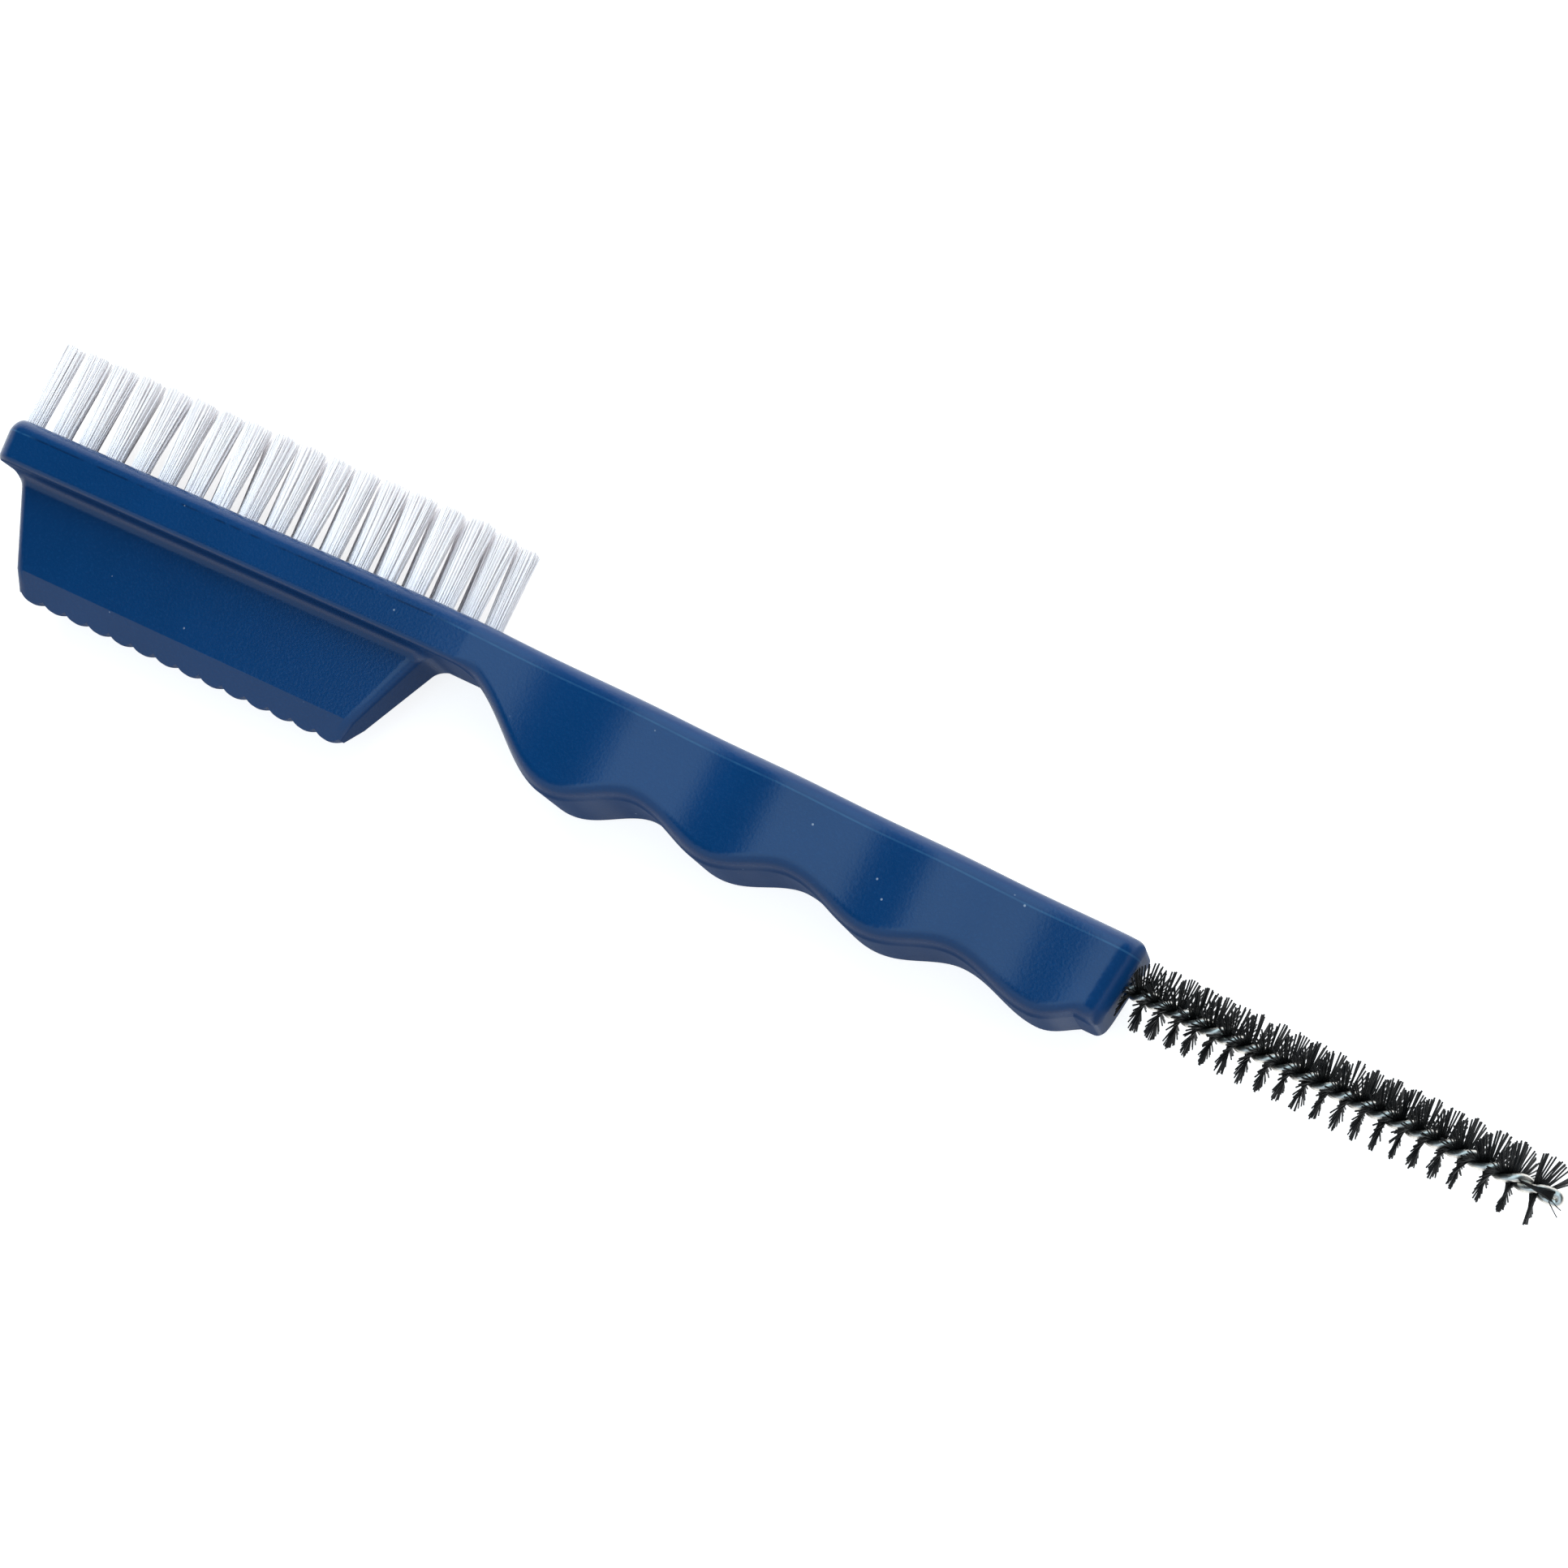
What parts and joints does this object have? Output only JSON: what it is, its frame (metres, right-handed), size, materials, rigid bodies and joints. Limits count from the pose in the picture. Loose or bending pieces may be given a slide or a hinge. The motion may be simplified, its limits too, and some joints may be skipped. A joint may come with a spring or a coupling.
{
  "type": "ski wax brush",
  "caption": "Hand brush with a finger-grooved moulded grip, a head of stiff white tufts, a wavy-edged scraper blade under the head and a twisted-wire bottle brush at the tail",
  "frame": {"origin": "the middle of the flat back of the head, on the side that the brush lies on", "axes": "+X runs from the tufted head along the grip to the tip of the wire brush, +Y is the way the white bristles point, with the scraper blade and the finger lobes towards -Y, and +Z is across the brush, up from the side it lies on"},
  "size_m": [0.2266, 0.0367, 0.015],
  "materials": {
    "handle_plastic": "injection moulded, fine matt grain with a soft sheen, dark blue",
    "white_nylon": "stiff translucent white filaments cut level at the tips",
    "black_nylon": "fine crimp-free black filaments",
    "galvanised_wire": "bright drawn and galvanised"
  },
  "bodies": {
    "root": {"handle": "handle_plastic", "tuft_front_01": "white_nylon", "tuft_front_02": "white_nylon", "tuft_front_03": "white_nylon", "tuft_front_04": "white_nylon", "tuft_front_05": "white_nylon", "tuft_front_06": "white_nylon", "tuft_front_07": "white_nylon", "tuft_front_08": "white_nylon", "tuft_front_09": "white_nylon", "tuft_front_10": "white_nylon", "tuft_front_11": "white_nylon", "tuft_front_12": "white_nylon", "tuft_front_13": "white_nylon", "tuft_front_14": "white_nylon", "tuft_front_15": "white_nylon", "tuft_front_16": "white_nylon", "tuft_middle_01": "white_nylon", "tuft_middle_02": "white_nylon", "tuft_middle_03": "white_nylon", "tuft_middle_04": "white_nylon", "tuft_middle_05": "white_nylon", "tuft_middle_06": "white_nylon", "tuft_middle_07": "white_nylon", "tuft_middle_08": "white_nylon", "tuft_middle_09": "white_nylon", "tuft_middle_10": "white_nylon", "tuft_middle_11": "white_nylon", "tuft_middle_12": "white_nylon", "tuft_middle_13": "white_nylon", "tuft_middle_14": "white_nylon", "tuft_middle_15": "white_nylon", "tuft_middle_16": "white_nylon", "tuft_back_01": "white_nylon", "tuft_back_02": "white_nylon", "tuft_back_03": "white_nylon", "tuft_back_04": "white_nylon", "tuft_back_05": "white_nylon", "tuft_back_06": "white_nylon", "tuft_back_07": "white_nylon", "tuft_back_08": "white_nylon", "tuft_back_09": "white_nylon", "tuft_back_10": "white_nylon", "tuft_back_11": "white_nylon", "tuft_back_12": "white_nylon", "tuft_back_13": "white_nylon", "tuft_back_14": "white_nylon", "tuft_back_15": "white_nylon", "tuft_back_16": "white_nylon", "stem_wire": "galvanised_wire", "spiral_bristles": "black_nylon"}
  },
  "joints": []
}
